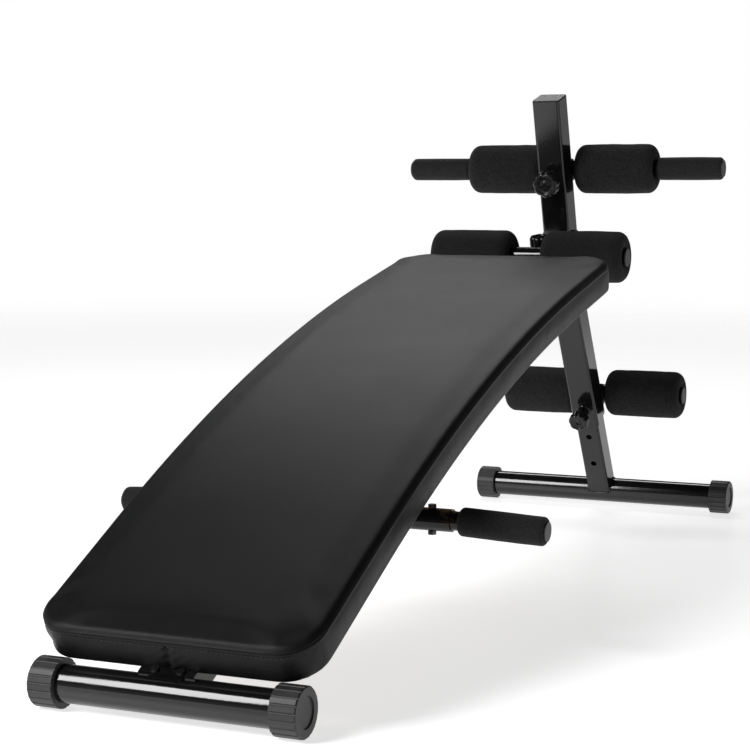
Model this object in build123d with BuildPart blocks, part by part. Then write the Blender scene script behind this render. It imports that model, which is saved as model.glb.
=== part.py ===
"""Folding decline sit up bench with a curved pad, foam rollers, a T bar and push up handles.

Units are millimetres. +X is to the right of a user who faces the post, +Y runs from the low
front foot to the post, and +Z is up. The origin is on the floor below the middle of the bench.
"""
from build123d import *
import math
import os

os.makedirs("parts", exist_ok=True)

# ---------------------------------------------------------------- driving dimensions

# stabilizers (the round feet) and their ribbed end caps
stabilizer_spacing = 1370.0      # front axis to rear axis
stabilizer_diameter = 38.0
stabilizer_wall = 1.5
front_stabilizer_length = 290.0  # over the caps
rear_stabilizer_length = 410.0
cap_diameter = 50.0              # across the flats of the ribs
cap_length = 28.0
cap_end_wall = 4.0
cap_ribs = 20
cap_groove_radius = 1.3
cap_recess_radius = 15.5
cap_recess_depth = 1.5
cap_clearance = 0.1

# main tube: a straight run, a long bend and a second straight run
main_tube_size = 40.0
tube_wall = 1.5
tube_corner_radius = 4.0
front_slope = 26.3               # degrees
rear_slope = 12.0
front_run = 198.0                # from the front stabilizer's axis
bend_radius = 2577.0
rear_run = 305.0

# pad
pad_front = 14.0                 # along the tube, from the front stabilizer's axis
pad_length = 986.0
pad_width = 304.0
pad_thickness = 37.0
pad_corner_radius = 42.0
pad_edge_radius = 11.0
level_share = 0.8                # a face that points up has more of its normal along Z
wall_share = 0.6                 # and a side wall has less
same_edge = 0.01                 # between the middles of one shared edge
board_thickness = 9.0
board_inset = 6.0
plate_thickness = 3.0
plate_length = 60.0
front_plate_start = 4.0
front_plate_length = 106.0
front_lip_thickness = 3.0
front_bolts_before_end = 30.0     # from the front plate's rear end
rear_plate_before_end = 70.0      # plate's middle, from the pad's rear end
pad_bolt_radius = 3.0
bolt_head_radius = 5.0
bolt_head_height = 4.0
bolt_hole_clearance = 0.3
t_nut_flange_radius = 9.0
t_nut_flange = 1.5
t_nut_barrel_radius = 4.2
seat_gap = 0.05                  # flat fasteners on curved seats
bracket_screw_x = 14.0
bracket_screw_radius = 2.4
bracket_screw_head_radius = 4.5
bracket_screw_head_height = 2.4

# bars and foam rollers
bar_diameter = 25.0
bar_wall = 1.5
roller_wall = 23.5                # foam over the bar
roller_length = 117.0
roller_end_radius = 12.0
roller_gap = 3.5                 # between a roller and the side of a 40 mm tube
bore_clearance = 0.05
bar_overhang = 2.5               # bar beyond a roller's outer end
plug_flange = 1.5
plug_depth = 12.0
saddle_width = 34.0
saddle_length = 32.0
saddle_corner_radius = 3.0
knee_bar_before_end = 62.0       # along the main tube, from its rear end
knee_bar_gap = 2.5               # bar above the main tube
t_bar_up_post = 152.0            # along the post, from the bend
t_bar_gap = 4.5                  # bar behind the post
t_bar_length = 478.0
t_grip_wall = 4.0
t_grip_end_radius = 2.5
t_grip_gap = 3.0                 # between a roller and a grip
foot_bar_up_leg = 163.0          # along the leg, from the rear stabilizer's axis
foot_bar_gap = 7.5               # bar behind the outer leg

# push up handles
push_bar_distance = 369.0        # along the main tube, from the front stabilizer's axis
push_bar_gap = 5.5               # bar below the main tube
push_sleeve_length = 300.0
handle_diameter = 21.0
handle_insertion = 62.0
handle_reach = 258.0             # from the middle of the bench to a handle's end
handle_droop = 2.5               # degrees
handle_bend_radius = 60.0
handle_bend_out = 4.0            # bend from the sleeve's end
push_grip_wall = 5.5
push_grip_end_radius = 4.0
push_grip_gap = 9.0              # between the sleeve's end and the grip
push_bolt_inset = 24.0           # from the sleeve's end
push_bolt_tip = 1.0              # beyond the sleeve, inside the nut

# folding post and leg
link_tube_size = 35.0
link_insertion = 160.0
link_travel = 50.0
link_holes = 3
pivot_reach = 32.0               # from the main tube's end to the pivot
pivot_to_post = 46.0             # pivot to the post's axis
post_size = 40.0
post_lean = 16.0                 # degrees towards the front
bend_drop = 33.0                 # from beside the pivot down to the bend
post_length = 266.0              # from the bend to the top
post_cap_thickness = 2.0
post_cap_chamfer = 0.8
leg_outer_start = 141.2          # lower end, from the rear stabilizer's axis
leg_inner_size = 35.0
leg_inner_reach = 285.0          # from the rear stabilizer's axis to the top end
hole_pitch = 52.0
first_hole = 65.0                # from the rear stabilizer's axis
inner_holes = 5
outer_holes = 3
pin_hole_radius = 4.5
glide_wall = 0.9
glide_length = 34.0
glide_clearance = 0.08
cheek_thickness = 4.0
cheek_radius = 16.0
cheek_rise = 22.0
cheek_fall = 20.0
cheek_corner_radius = 15.0
pivot_bolt_radius = 5.0
pivot_bush_radius = 8.0
pivot_clearance = 0.05
pivot_washer_rim = 3.0           # beyond the bush
pivot_bolt_head_radius = 8.5
cheek_bolt_head_radius = 5.5
bolt_head_share = 0.7            # a through bolt's head height by its radius
stop_gap = 0.2                   # link end to post, at rest

# knobs and pull pins
pull_knob_radius = 15.0
pull_knob_length = 27.0
pull_knob_gap = 2.0
t_knob_radius = 19.0
t_knob_length = 30.0
knob_flutes = 7
flute_centre_share = 1.16        # of the knob's radius
flute_radius_share = 0.3
flute_length_share = 0.86        # of the knob's length
dish_radius_share = 0.42
dish_depth = 5.0
pin_below_knob_end = 4.0
stud_below_knob_end = 3.0
stud_clearance = 0.1
boss_radius = 9.0
boss_height = 4.0
pin_radius = 4.0
pin_clearance = 0.06
pin_travel = 12.0
pin_tip_gap = 0.3                # tip to inner tube
slide_pin_before_end = 15.0
stud_radius = 5.0

# ---------------------------------------------------------------- layout

right = Vector(1, 0, 0)
axis_height = cap_diameter / 2
half_tube = main_tube_size / 2
half_post = post_size / 2
bar_radius = bar_diameter / 2
roller_radius = bar_diameter / 2 + roller_wall
stabilizer_radius = stabilizer_diameter / 2
roller_inner_x = max(half_tube, half_post) + roller_gap
knee_bar_rise = half_tube + knee_bar_gap + bar_radius
t_bar_behind = half_post + t_bar_gap + bar_radius
foot_bar_behind = half_post + foot_bar_gap + bar_radius
push_bar_drop = half_tube + push_bar_gap + bar_radius
roller_outer_x = roller_inner_x + roller_length


def heading(angle):
    """Unit vector in the side view, at an angle above +Y."""
    return Vector(0, math.cos(math.radians(angle)), math.sin(math.radians(angle)))


def normal(direction):
    """The side view direction a quarter turn on from another one."""
    return Vector(0, -direction.Z, direction.Y)


def across(point, direction):
    """Plane square to a member, with its local x along +X."""
    return Plane(origin=point, x_dir=right, z_dir=direction)


def beside(point, direction, x=0.0):
    """Side view plane at x, with its local x along a direction."""
    return Plane(origin=point + right * x, x_dir=direction, z_dir=right)


def cross_bar_plane(point, x):
    """Plane square to a cross bar at x, facing +X."""
    return beside(point, Vector(0, 1, 0), x)


front_axis = Vector(0, -stabilizer_spacing / 2, axis_height)
rear_axis = Vector(0, stabilizer_spacing / 2, axis_height)
front_direction = heading(front_slope)
rear_direction = heading(rear_slope)
bend_start = front_axis + front_direction * front_run
bend_centre = bend_start - normal(front_direction) * bend_radius
bend_end = bend_centre + normal(rear_direction) * bend_radius
bend_length = bend_radius * math.radians(front_slope - rear_slope)
main_tube_length = front_run + bend_length + rear_run


def frame_direction(distance):
    """Heading of the frame line at a distance from the front stabilizer's axis."""
    turned = min(max(distance - front_run, 0), bend_length) / bend_radius
    return heading(front_slope - math.degrees(turned))


def frame_point(distance, height=0.0):
    """Point on the frame line, raised square to it."""
    direction = frame_direction(distance)
    if distance <= front_run:
        point = front_axis + direction * distance
    elif distance <= front_run + bend_length:
        point = bend_centre + normal(direction) * bend_radius
    else:
        point = bend_end + direction * (distance - front_run - bend_length)
    return point + normal(direction) * height


def flat(point):
    """A side view point's coordinates in a sketch on Plane.YZ."""
    return (point.Y, point.Z)


def frame_edge(start, end, height):
    """Line, arc and line that follow the frame line at a height, in a BuildLine on Plane.YZ."""
    arc_start = max(start, front_run)
    arc_end = min(end, front_run + bend_length)
    if start < arc_start:
        Line(flat(frame_point(start, height)), flat(frame_point(min(arc_start, end), height)))
    if arc_start < arc_end:
        middle = (arc_start + arc_end) / 2
        ThreePointArc(*(flat(frame_point(at, height)) for at in (arc_start, middle, arc_end)))
    if arc_end < end:
        Line(flat(frame_point(max(arc_end, start), height)), flat(frame_point(end, height)))


def curved_slab(start, end, low, high, width, corner_radius=0.0):
    """Slab that follows the frame line between two heights, with rounded corners in plan."""
    with BuildPart() as slab:
        with BuildSketch(Plane.YZ):
            with BuildLine():
                frame_edge(start, end, low)
                frame_edge(start, end, high)
                for at in (start, end):
                    Line(flat(frame_point(at, low)), flat(frame_point(at, high)))
            make_face()
        extrude(amount=width / 2, both=True)
        if corner_radius > 0:
            for at in (start, end):
                up = normal(frame_direction(at))
                upright = slab.edges().filter_by(Axis((0, 0, 0), (0, up.Y, up.Z)))
                fillet(upright.sort_by_distance(frame_point(at))[:2], corner_radius)
    return slab.part


# the rear end: pivot, post and leg
tube_end = frame_point(main_tube_length)
pivot = tube_end + rear_direction * pivot_reach
post_up = heading(90 + post_lean)
post_front = normal(post_up)
post_foot = pivot - post_front * pivot_to_post
bend = post_foot - post_up * bend_drop
leg_up = (bend - rear_axis).normalized()
leg_front = normal(leg_up)
leg_length = (bend - rear_axis).length
leg_outer_length = leg_length - leg_outer_start
post_top = bend + post_up * post_length
t_bar_level = bend + post_up * t_bar_up_post
t_bar_axis = t_bar_level - post_front * t_bar_behind
foot_bar_level = rear_axis + leg_up * foot_bar_up_leg
foot_bar_axis = foot_bar_level - leg_front * foot_bar_behind
knee_bar_distance = main_tube_length - knee_bar_before_end
knee_bar_axis = frame_point(knee_bar_distance, knee_bar_rise)
push_bar_axis = frame_point(push_bar_distance, -push_bar_drop)
leg_pin_level = rear_axis + leg_up * (first_hole + 2 * hole_pitch)
slide_pin_level = frame_point(main_tube_length - slide_pin_before_end)


def save(piece, label):
    """Labels a finished piece and writes its STEP file."""
    piece.part.label = label
    export_step(piece.part, f"parts/{label}.step")


def save_pair(piece, name):
    """Writes a right hand piece and its mirror image."""
    save(piece, f"{name}_right")
    with BuildPart() as left_piece:
        add(mirror(piece.part, about=Plane.YZ, mode=Mode.PRIVATE))
    save(left_piece, f"{name}_left")


def square_ring(size, wall):
    """Section of a square tube, in a BuildSketch."""
    RectangleRounded(size, size, tube_corner_radius)
    RectangleRounded(size - 2 * wall, size - 2 * wall, tube_corner_radius - wall, mode=Mode.SUBTRACT)


# ---------------------------------------------------------------- stabilizers and caps

def stabilizer(axis, length, label):
    """Round foot tube that ends against the inside of its caps."""
    tube_length = length - 2 * cap_end_wall
    with BuildPart() as tube:
        with BuildSketch(cross_bar_plane(axis, -tube_length / 2)):
            Circle(stabilizer_radius)
            Circle(stabilizer_radius - stabilizer_wall, mode=Mode.SUBTRACT)
        extrude(amount=tube_length)
    save(tube, label)


def ribbed_cap(axis, length, name):
    """Plastic end cap with flat ribs, a groove between each two, and a recess in its end face."""
    inner_face = cross_bar_plane(axis, length / 2 - cap_length)
    end_face = cross_bar_plane(axis, length / 2)
    corner_radius = cap_diameter / 2 / math.cos(math.pi / cap_ribs)
    with BuildPart() as cap:
        with BuildSketch(inner_face):
            RegularPolygon(cap_diameter / 2, cap_ribs, major_radius=False, rotation=180 / cap_ribs)
        extrude(amount=cap_length)
        end_edges = cap.faces().sort_by(Axis.X)[-1].edges()
        chamfer(end_edges, 1.5)
        with BuildSketch(inner_face):
            with PolarLocations(corner_radius, cap_ribs, start_angle=180 / cap_ribs):
                Circle(cap_groove_radius)
        extrude(amount=cap_length, mode=Mode.SUBTRACT)
        with BuildSketch(inner_face):
            Circle(stabilizer_radius + cap_clearance)
        extrude(amount=cap_length - cap_end_wall, mode=Mode.SUBTRACT)
        with BuildSketch(end_face):
            Circle(cap_recess_radius)
        extrude(amount=-cap_recess_depth, mode=Mode.SUBTRACT)
    save_pair(cap, name)


stabilizer(front_axis, front_stabilizer_length, "front_stabilizer")
stabilizer(rear_axis, rear_stabilizer_length, "rear_stabilizer")
ribbed_cap(front_axis, front_stabilizer_length, "front_cap")
ribbed_cap(rear_axis, rear_stabilizer_length, "rear_cap")

# ---------------------------------------------------------------- main tube and its liner

pin_hole_in_main = across(slide_pin_level, normal(rear_direction))
bracket_screw_distance = (front_plate_start + pad_front) / 2
bracket_screw_plane = across(frame_point(bracket_screw_distance), normal(front_direction))

with BuildPart() as main_tube:
    with BuildLine(Plane.YZ) as frame_line:
        frame_edge(0, main_tube_length, 0)
    with BuildSketch(across(front_axis, front_direction)):
        square_ring(main_tube_size, tube_wall)
    sweep(path=frame_line.line)
    with BuildSketch(cross_bar_plane(front_axis, 0)):
        Circle(stabilizer_radius)
    extrude(amount=main_tube_size, both=True, mode=Mode.SUBTRACT)
    with BuildSketch(pin_hole_in_main):
        Circle(pin_radius + pin_clearance)
    extrude(amount=main_tube_size, mode=Mode.SUBTRACT)
    with BuildSketch(bracket_screw_plane):
        with Locations((bracket_screw_x, 0), (-bracket_screw_x, 0)):
            Circle(bracket_screw_radius)
    extrude(amount=main_tube_size, mode=Mode.SUBTRACT)
save(main_tube, "main_tube")


def glide(mouth, direction, outer_size, inner_size, pin_level, pin_direction, label):
    """Plastic liner just inside an outer tube's mouth, round the tube that slides in it."""
    outside = outer_size - 2 * tube_wall
    inside = inner_size + 2 * glide_clearance
    with BuildPart() as liner:
        with BuildSketch(across(mouth, direction)):
            RectangleRounded(outside, outside, tube_corner_radius - tube_wall)
            RectangleRounded(inside, inside, tube_corner_radius, mode=Mode.SUBTRACT)
        extrude(amount=glide_length)
        with BuildSketch(across(pin_level, pin_direction)):
            Circle(pin_radius + bolt_hole_clearance)
        extrude(amount=outer_size, mode=Mode.SUBTRACT)
    save(liner, label)


slide_pin_direction = normal(rear_direction)
glide(tube_end, -rear_direction, main_tube_size, link_tube_size, slide_pin_level, slide_pin_direction,
      "slide_glide")

# ---------------------------------------------------------------- pad, its board and its plates

board_low = half_tube + plate_thickness
board_high = board_low + board_thickness
pad_end = pad_front + pad_length
pad_bolt_x = half_tube + bolt_hole_clearance + bolt_head_radius
plate_width = 2 * (pad_bolt_x + bolt_head_radius + bolt_hole_clearance)
front_plate_end = front_plate_start + front_plate_length
rear_plate_middle = pad_end - rear_plate_before_end
plate_middles = ((pad_front + pad_end) / 2, rear_plate_middle)
pad_bolt_distances = (front_plate_end - front_bolts_before_end, *plate_middles)


board_slab = curved_slab(pad_front + board_inset, pad_end - board_inset, board_low, board_high,
                         pad_width - 2 * board_inset, pad_corner_radius - board_inset)
cushion_slab = curved_slab(pad_front, pad_end, board_low, board_low + pad_thickness, pad_width,
                           pad_corner_radius)


def pad_bolt_plane(distance, height):
    """Plane on the frame line at a pair of pad bolts, facing up through the pad."""
    return across(frame_point(distance, height), normal(frame_direction(distance)))


with BuildPart() as pad_board:
    add(board_slab)
    for at in pad_bolt_distances:
        with BuildSketch(pad_bolt_plane(at, board_high)):
            with Locations((pad_bolt_x, 0), (-pad_bolt_x, 0)):
                Circle(t_nut_flange_radius)
        extrude(amount=-t_nut_flange, mode=Mode.SUBTRACT)
        with BuildSketch(pad_bolt_plane(at, board_high)):
            with Locations((pad_bolt_x, 0), (-pad_bolt_x, 0)):
                Circle(t_nut_barrel_radius)
        extrude(amount=-2 * board_thickness, mode=Mode.SUBTRACT)
save(pad_board, "pad_board")

with BuildPart() as pad_cushion:
    add(cushion_slab)
    top_faces = pad_cushion.faces().filter_by(lambda face: face.normal_at().Z > level_share)
    walls = pad_cushion.faces().filter_by(lambda face: abs(face.normal_at().Z) < wall_share)
    wall_centres = [edge.center() for wall in walls for edge in wall.edges()]
    rim = top_faces.edges().filter_by(
        lambda edge: min((edge.center() - centre).length for centre in wall_centres) < same_edge)
    fillet(rim, pad_edge_radius)
    add(board_slab, mode=Mode.SUBTRACT)
save(pad_cushion, "pad_cushion")

with BuildPart() as pad_bolts:
    for at in pad_bolt_distances:
        with BuildSketch(pad_bolt_plane(at, half_tube - seat_gap)):
            with Locations((pad_bolt_x, 0), (-pad_bolt_x, 0)):
                Circle(bolt_head_radius)
        extrude(amount=-bolt_head_height)
        with BuildSketch(pad_bolt_plane(at, half_tube - seat_gap)):
            with Locations((pad_bolt_x, 0), (-pad_bolt_x, 0)):
                Circle(pad_bolt_radius)
        extrude(amount=plate_thickness + board_thickness - t_nut_flange)
        with BuildSketch(pad_bolt_plane(at, half_tube - seat_gap - bolt_head_height)):
            with Locations((pad_bolt_x, 0), (-pad_bolt_x, 0)):
                RegularPolygon(pad_bolt_radius, 6)
        extrude(amount=bolt_head_height / 2, mode=Mode.SUBTRACT)
save(pad_bolts, "pad_bolts")

with BuildPart() as pad_t_nuts:
    for at in pad_bolt_distances:
        with BuildSketch(pad_bolt_plane(at, board_high - seat_gap)):
            with Locations((pad_bolt_x, 0), (-pad_bolt_x, 0)):
                Circle(t_nut_flange_radius)
        extrude(amount=-t_nut_flange + seat_gap)
        with BuildSketch(pad_bolt_plane(at, board_high - seat_gap)):
            with Locations((pad_bolt_x, 0), (-pad_bolt_x, 0)):
                Circle(t_nut_barrel_radius)
        extrude(amount=-board_thickness + 2 * seat_gap)
        with BuildSketch(pad_bolt_plane(at, board_low)):
            with Locations((pad_bolt_x, 0), (-pad_bolt_x, 0)):
                Circle(pad_bolt_radius)
        extrude(amount=board_thickness, mode=Mode.SUBTRACT)
save(pad_t_nuts, "pad_t_nuts")


with BuildPart() as front_lip:
    add(curved_slab(front_plate_start, front_plate_start + front_lip_thickness, 0, half_tube, plate_width))
    with BuildSketch(cross_bar_plane(front_axis, 0)):
        Circle(stabilizer_radius)
    extrude(amount=plate_width, both=True, mode=Mode.SUBTRACT)
    with BuildSketch(across(front_axis, front_direction)):
        Rectangle(main_tube_size, 2 * main_tube_size)
    extrude(amount=plate_length, mode=Mode.SUBTRACT)

front_plate_slab = curved_slab(front_plate_start, front_plate_end, half_tube, board_low, plate_width)

with BuildPart() as front_pad_bracket:
    add(front_plate_slab)
    add(front_lip.part)
    with BuildSketch(pad_bolt_plane(pad_bolt_distances[0], half_tube)):
        with Locations((pad_bolt_x, 0), (-pad_bolt_x, 0)):
            Circle(pad_bolt_radius + bolt_hole_clearance)
    extrude(amount=plate_thickness, mode=Mode.SUBTRACT)
    with BuildSketch(bracket_screw_plane):
        with Locations((bracket_screw_x, 0), (-bracket_screw_x, 0)):
            Circle(bracket_screw_radius)
    extrude(amount=main_tube_size, mode=Mode.SUBTRACT)
save(front_pad_bracket, "front_pad_bracket")

plate_slabs = [curved_slab(at - plate_length / 2, at + plate_length / 2, half_tube, board_low, plate_width)
               for at in plate_middles]

with BuildPart() as pad_plates:
    for at, slab in zip(plate_middles, plate_slabs):
        add(slab)
        with BuildSketch(pad_bolt_plane(at, half_tube - seat_gap)):
            with Locations((pad_bolt_x, 0), (-pad_bolt_x, 0)):
                Circle(pad_bolt_radius + bolt_hole_clearance)
        extrude(amount=2 * plate_thickness, mode=Mode.SUBTRACT)
save(pad_plates, "pad_plates")

with BuildPart() as bracket_screws:
    screw_plane = bracket_screw_plane.offset(board_low)
    with BuildSketch(screw_plane):
        with Locations((bracket_screw_x, 0), (-bracket_screw_x, 0)):
            Circle(bracket_screw_head_radius)
    extrude(amount=bracket_screw_head_height)
    with BuildSketch(screw_plane):
        with Locations((bracket_screw_x, 0), (-bracket_screw_x, 0)):
            Circle(bracket_screw_radius)
    extrude(amount=-plate_thickness - tube_wall)
save(bracket_screws, "bracket_screws")

# ---------------------------------------------------------------- bars, saddles and foam rollers

def cross_bar(axis, length, label, stud_plane=None):
    """Round bar tube along X, drilled for a stud where one holds it."""
    with BuildPart() as bar:
        with BuildSketch(cross_bar_plane(axis, -length / 2)):
            Circle(bar_radius)
            Circle(bar_radius - bar_wall, mode=Mode.SUBTRACT)
        extrude(amount=length)
        if stud_plane is not None:
            with BuildSketch(stud_plane):
                Circle(stud_radius)
            extrude(amount=-t_bar_behind, mode=Mode.SUBTRACT)
    save(bar, label)


def bar_plugs(axis, length, label):
    """Plastic plugs in both ends of a bar: a domed flange outside and a spigot inside."""
    with BuildPart() as plugs:
        for side in (-1, 1):
            with BuildSketch(cross_bar_plane(axis, side * length / 2)):
                Circle(bar_radius)
            extrude(amount=side * plug_flange)
            with BuildSketch(cross_bar_plane(axis, side * length / 2)):
                Circle(bar_radius - bar_wall)
            extrude(amount=-side * plug_depth)
        outer_rims = plugs.edges().filter_by(
            lambda edge: abs(abs(edge.center().X) - length / 2 - plug_flange) < 0.01)
        chamfer(outer_rims, plug_flange / 2)
    save(plugs, label)


def saddle(face_point, direction, depth, label, stud_plane=None):
    """Cradle welded between a square tube's face and a cross bar, direction pointing at the bar."""
    with BuildPart() as cradle:
        with BuildSketch(across(face_point, direction)):
            RectangleRounded(saddle_width, saddle_length, saddle_corner_radius)
        extrude(amount=depth)
        with BuildSketch(cross_bar_plane(face_point + direction * depth, 0)):
            Circle(bar_radius)
        extrude(amount=saddle_width, both=True, mode=Mode.SUBTRACT)
        if stud_plane is not None:
            with BuildSketch(stud_plane):
                Circle(stud_radius + bolt_hole_clearance)
            extrude(amount=-t_bar_behind, mode=Mode.SUBTRACT)
    save(cradle, label)


def foam_rollers(axis, name):
    """Pair of foam rollers that turn on a cross bar."""
    with BuildPart() as roller:
        with BuildSketch(cross_bar_plane(axis, roller_inner_x)):
            Circle(roller_radius)
        extrude(amount=roller_length)
        fillet(roller.edges().filter_by(GeomType.CIRCLE), roller_end_radius)
        with BuildSketch(cross_bar_plane(axis, roller_inner_x)):
            Circle(bar_radius + bore_clearance)
        extrude(amount=roller_length, mode=Mode.SUBTRACT)
    save_pair(roller, name)


roller_bar_length = 2 * (roller_outer_x + bar_overhang - plug_flange)
t_bar_tube_length = t_bar_length - 2 * plug_flange
t_stud_plane = across(t_bar_level, post_front)

cross_bar(knee_bar_axis, roller_bar_length, "knee_bar")
bar_plugs(knee_bar_axis, roller_bar_length, "knee_bar_plugs")
knee_saddle_depth = knee_bar_rise - half_tube
saddle(knee_bar_axis - normal(rear_direction) * knee_saddle_depth, normal(rear_direction),
       knee_saddle_depth, "knee_saddle")
foam_rollers(knee_bar_axis, "knee_roller")

cross_bar(foot_bar_axis, roller_bar_length, "foot_bar")
bar_plugs(foot_bar_axis, roller_bar_length, "foot_bar_plugs")
foot_saddle_depth = foot_bar_behind - half_post
saddle(foot_bar_axis + leg_front * foot_saddle_depth, -leg_front, foot_saddle_depth, "foot_saddle")
foam_rollers(foot_bar_axis, "foot_roller")

cross_bar(t_bar_axis, t_bar_tube_length, "t_bar", t_stud_plane)
bar_plugs(t_bar_axis, t_bar_tube_length, "t_bar_plugs")
t_saddle_depth = t_bar_behind - half_post
saddle(t_bar_axis + post_front * t_saddle_depth, -post_front, t_saddle_depth, "t_bar_saddle", t_stud_plane)
foam_rollers(t_bar_axis, "t_bar_roller")

with BuildPart() as t_bar_grip:
    grip_start = roller_outer_x + t_grip_gap
    with BuildSketch(cross_bar_plane(t_bar_axis, grip_start)):
        Circle(bar_radius + t_grip_wall)
        Circle(bar_radius, mode=Mode.SUBTRACT)
    extrude(amount=t_bar_tube_length / 2 - grip_start)
    fillet(t_bar_grip.edges().filter_by(GeomType.CIRCLE).sort_by(SortBy.RADIUS)[-2:], t_grip_end_radius)
save_pair(t_bar_grip, "t_bar_grip")

# ---------------------------------------------------------------- push up handles

push_sleeve_radius = bar_radius
push_bolt_x = push_sleeve_length / 2 - push_bolt_inset
push_bolt_plane = Plane(origin=push_bar_axis, x_dir=right, z_dir=(0, 0, 1))
push_up = normal(frame_direction(push_bar_distance))

with BuildPart() as push_sleeve:
    with BuildSketch(cross_bar_plane(push_bar_axis, -push_sleeve_length / 2)):
        Circle(push_sleeve_radius)
        Circle(handle_diameter / 2 + bore_clearance, mode=Mode.SUBTRACT)
    extrude(amount=push_sleeve_length)
    with BuildSketch(push_bolt_plane):
        with Locations((push_bolt_x, 0), (-push_bolt_x, 0)):
            Circle(pad_bolt_radius)
    extrude(amount=bar_diameter, both=True, mode=Mode.SUBTRACT)
save(push_sleeve, "push_sleeve")

push_saddle_depth = push_bar_drop - half_tube
with BuildPart() as push_saddle:
    with BuildSketch(across(push_bar_axis + push_up * (push_saddle_depth - seat_gap), -push_up)):
        RectangleRounded(saddle_width, saddle_length, saddle_corner_radius)
    extrude(amount=push_saddle_depth - seat_gap)
    with BuildSketch(cross_bar_plane(push_bar_axis, 0)):
        Circle(push_sleeve_radius)
    extrude(amount=saddle_width, both=True, mode=Mode.SUBTRACT)
save(push_saddle, "push_saddle")

handle_bend_x = push_sleeve_length / 2 + handle_bend_out
handle_start_x = push_sleeve_length / 2 - handle_insertion
grip_start_x = push_sleeve_length / 2 + push_grip_gap
droop = math.radians(handle_droop)
droop_direction = Vector(math.cos(droop), 0, -math.sin(droop))
handle_bend = push_bar_axis + right * handle_bend_x


def along_handle(x):
    """Point on the drooping end of the right handle's axis."""
    return handle_bend + droop_direction * ((x - handle_bend_x) / math.cos(droop))


handle_tube_end = along_handle(handle_reach - plug_flange)
grip_plane = Plane(origin=along_handle(grip_start_x), x_dir=(0, 1, 0), z_dir=droop_direction)
grip_length = (handle_tube_end - along_handle(grip_start_x)).length

with BuildPart() as push_handle:
    with BuildLine() as handle_path:
        FilletPolyline(push_bar_axis + right * handle_start_x, handle_bend, handle_tube_end,
                       radius=handle_bend_radius)
    with BuildSketch(cross_bar_plane(push_bar_axis, handle_start_x)):
        Circle(handle_diameter / 2)
        Circle(handle_diameter / 2 - bar_wall, mode=Mode.SUBTRACT)
    sweep(path=handle_path.line)
    with BuildSketch(push_bolt_plane):
        with Locations((push_bolt_x, 0)):
            Circle(pad_bolt_radius)
    extrude(amount=bar_diameter, both=True, mode=Mode.SUBTRACT)
save_pair(push_handle, "push_handle")

with BuildPart() as push_grip:
    with BuildSketch(grip_plane):
        Circle(handle_diameter / 2 + push_grip_wall)
        Circle(handle_diameter / 2, mode=Mode.SUBTRACT)
    extrude(amount=grip_length)
    fillet(push_grip.edges().filter_by(GeomType.CIRCLE).sort_by(SortBy.RADIUS)[-2:], push_grip_end_radius)
save_pair(push_grip, "push_grip")

with BuildPart() as push_plug:
    with BuildSketch(grip_plane.offset(grip_length)):
        Circle(handle_diameter / 2)
    extrude(amount=plug_flange)
    with BuildSketch(grip_plane.offset(grip_length)):
        Circle(handle_diameter / 2 - bar_wall)
    extrude(amount=-plug_depth)
with BuildPart() as push_plugs:
    add(push_plug.part)
    add(mirror(push_plug.part, about=Plane.YZ, mode=Mode.PRIVATE))
save(push_plugs, "push_handle_plugs")

with BuildPart() as push_bolts:
    for x in (push_bolt_x, -push_bolt_x):
        with BuildSketch(push_bolt_plane.offset(-push_sleeve_radius)):
            with Locations((x, 0)):
                Circle(pad_bolt_radius)
        extrude(amount=bar_diameter + push_bolt_tip)
        for end, grow in ((push_sleeve_radius, 1), (-push_sleeve_radius, -1)):
            with BuildSketch(push_bolt_plane.offset(end)):
                with Locations((x, 0)):
                    RegularPolygon(bolt_head_radius, 6)
            extrude(amount=grow * bolt_head_height)
save(push_bolts, "push_bolts")

# ---------------------------------------------------------------- sliding link tube and pivot

link_end_radius = pivot_to_post - half_post - stop_gap
half_link = link_tube_size / 2
link_start = pivot - rear_direction * (pivot_reach + link_insertion)
post_face_plane = across(pivot - post_front * link_end_radius, post_front)

with BuildPart() as link_tube:
    with BuildSketch(across(link_start, rear_direction)):
        RectangleRounded(link_tube_size, link_tube_size, tube_corner_radius)
    extrude(amount=pivot_reach + link_insertion + 2 * half_link)
    with BuildSketch(across(link_start, rear_direction)):
        bore_size = link_tube_size - 2 * tube_wall
        RectangleRounded(bore_size, bore_size, tube_corner_radius - tube_wall)
    extrude(amount=pivot_reach + link_insertion - half_link, mode=Mode.SUBTRACT)
    with BuildSketch(beside(pivot, rear_direction)):
        with Locations((2 * link_tube_size, -2 * link_tube_size)):
            Rectangle(4 * link_tube_size, 4 * link_tube_size)
        Circle(link_end_radius, mode=Mode.SUBTRACT)
    extrude(amount=link_tube_size, both=True, mode=Mode.SUBTRACT)
    split(bisect_by=post_face_plane, keep=Keep.TOP)
    with BuildSketch(beside(pivot, rear_direction)):
        Circle(pivot_bush_radius)
    extrude(amount=link_tube_size, both=True, mode=Mode.SUBTRACT)
    for number in range(link_holes):
        with BuildSketch(across(slide_pin_level - rear_direction * number * link_travel / (link_holes - 1),
                                slide_pin_direction)):
            Circle(pin_hole_radius)
        extrude(amount=link_tube_size, mode=Mode.SUBTRACT)
save(link_tube, "link_tube")

with BuildPart() as pivot_bush:
    with BuildSketch(beside(pivot, rear_direction, -half_link)):
        Circle(pivot_bush_radius)
        Circle(pivot_bolt_radius + pivot_clearance, mode=Mode.SUBTRACT)
    extrude(amount=link_tube_size)
save(pivot_bush, "pivot_bush")

with BuildPart() as pivot_washers:
    washer_thickness = half_post - half_link - pivot_clearance
    for x in (half_link, -half_link):
        with BuildSketch(beside(pivot, rear_direction, x)):
            Circle(pivot_bush_radius + pivot_washer_rim)
            Circle(pivot_bolt_radius + pivot_clearance, mode=Mode.SUBTRACT)
        extrude(amount=math.copysign(washer_thickness, x))
save(pivot_washers, "pivot_washers")

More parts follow.
